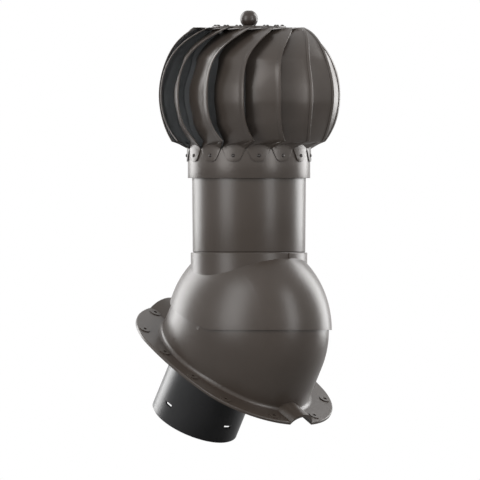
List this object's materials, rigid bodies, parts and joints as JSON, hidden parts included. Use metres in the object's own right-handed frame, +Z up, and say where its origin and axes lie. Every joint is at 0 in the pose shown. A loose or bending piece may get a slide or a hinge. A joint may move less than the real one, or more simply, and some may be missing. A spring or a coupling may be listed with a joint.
{
  "type": "roof turbine ventilator",
  "caption": "Roof turbine ventilator: a ring of twisted vanes spins on a neck over a tilting dome hood, on an oval roof flange with a duct spigot below.",
  "frame": {"origin": "centre of the oval mounting flange on its underside, in the roof plane", "axes": "+X down the slope of the roof, level; +Y across the slope; +Z up, along the turbine's axis at rest"},
  "size_m": [0.2606, 0.2215, 0.529],
  "materials": {
    "hood_plastic": "satin grey-brown paint",
    "spigot_plastic": "near-black, satin",
    "rubber": "matt black",
    "vane_paint": "satin grey-brown powder coat",
    "ball_paint": "satin dark brown",
    "rivet_metal": "satin grey-brown",
    "bracket_steel": "zinc plated",
    "steel": "bright"
  },
  "bodies": {
    "base": {"base_shell": "hood_plastic", "base_gasket": "rubber", "spigot_pipe": "spigot_plastic", "spigot_seal": "rubber"},
    "hood": {"hood_shell": "hood_plastic", "neck_pipe": "hood_plastic", "bearing_bracket": "bracket_steel", "bracket_rivets": "rivet_metal", "bearing_housing": "bracket_steel", "bearing_circlips": "steel", "upper_outer_ring": "steel", "lower_outer_ring": "steel"},
    "rotor": {"rotor_collar": "vane_paint", "vane_01": "vane_paint", "vane_02": "vane_paint", "vane_03": "vane_paint", "vane_04": "vane_paint", "vane_05": "vane_paint", "vane_06": "vane_paint", "vane_07": "vane_paint", "vane_08": "vane_paint", "vane_09": "vane_paint", "vane_10": "vane_paint", "vane_11": "vane_paint", "vane_12": "vane_paint", "vane_13": "vane_paint", "vane_14": "vane_paint", "vane_15": "vane_paint", "collar_rivets": "rivet_metal", "top_plate": "vane_paint", "top_rivets": "rivet_metal", "ball_nut": "ball_paint", "top_washer": "steel", "top_lock_nut": "steel", "shaft": "steel", "bearing_spacer": "steel", "bearing_lock_nut": "steel", "upper_inner_ring": "steel", "lower_inner_ring": "steel"}
  },
  "joints": [
    {"name": "hood_tilt", "type": "hinge", "parent": "base", "child": "hood", "pos_m": [0.02726, 0, 0.04475], "axis": [0, 1, 0], "range_deg": [0, 25.8]},
    {"name": "rotor_spin", "type": "hinge", "parent": "hood", "child": "rotor", "pos_m": [0.02726, 0, 0.35], "axis": [0, 0, 1], "continuous": true}
  ]
}
